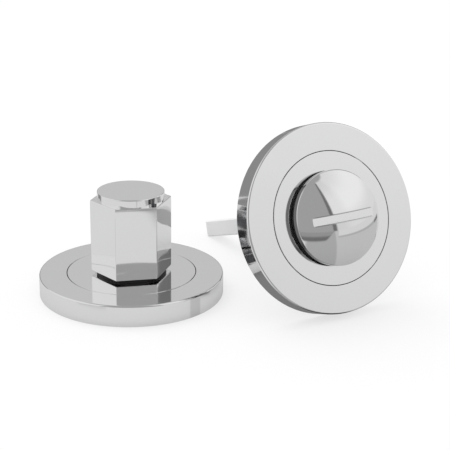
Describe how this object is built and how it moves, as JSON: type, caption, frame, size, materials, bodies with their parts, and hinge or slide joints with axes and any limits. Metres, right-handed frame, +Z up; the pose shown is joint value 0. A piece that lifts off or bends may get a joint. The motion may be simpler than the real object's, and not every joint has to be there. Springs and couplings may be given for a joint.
{
  "type": "bathroom thumb turn lock",
  "caption": "Polished chrome privacy lock set in its halves: a hexagonal thumb turn on a round rose, and a matching rose with a coin-slot release dome and square spindle.",
  "frame": {"origin": "centre of the turn rose's rear face, which lies on the surface", "axes": "+Z up through the turn knob's axis, +X along the length of the laid-out pair towards the release half, +Y away from the viewer"},
  "size_m": [0.1042, 0.0763, 0.0509],
  "materials": {
    "rose_chrome": "mirror polished",
    "knob_chrome": "mirror polished",
    "plate_zinc": "zinc plated",
    "screw_steel": "bright plated",
    "spring_steel": "blued",
    "spindle_steel": "bright drawn and plated",
    "bush_nylon": "moulded"
  },
  "bodies": {
    "roses": {"turn_outer_rose": "rose_chrome", "turn_inner_rose": "rose_chrome", "turn_base_plate": "plate_zinc", "turn_plate_screws": "screw_steel", "turn_bush": "bush_nylon", "turn_wave_washer": "spring_steel", "release_outer_rose": "rose_chrome", "release_inner_rose": "rose_chrome", "release_base_plate": "plate_zinc", "release_plate_screws": "screw_steel", "release_bush": "bush_nylon", "release_wave_washer": "spring_steel"},
    "turn": {"turn_knob": "knob_chrome", "turn_circlip": "spring_steel", "turn_thrust_washer": "spring_steel"},
    "release": {"release_dome": "knob_chrome", "release_spindle": "spindle_steel", "release_pin": "spring_steel", "release_circlip": "spring_steel", "release_thrust_washer": "spring_steel"}
  },
  "joints": [
    {"name": "turn_hinge", "type": "hinge", "parent": "roses", "child": "turn", "pos_m": [0, 0, 0], "axis": [0, 0, 1], "range_deg": [0, 90]},
    {"name": "release_hinge", "type": "hinge", "parent": "roses", "child": "release", "pos_m": [0.0522, -0.0087, 0.02449], "axis": [0.4158, -0.845, 0.3363], "range_deg": [0, 90]}
  ]
}
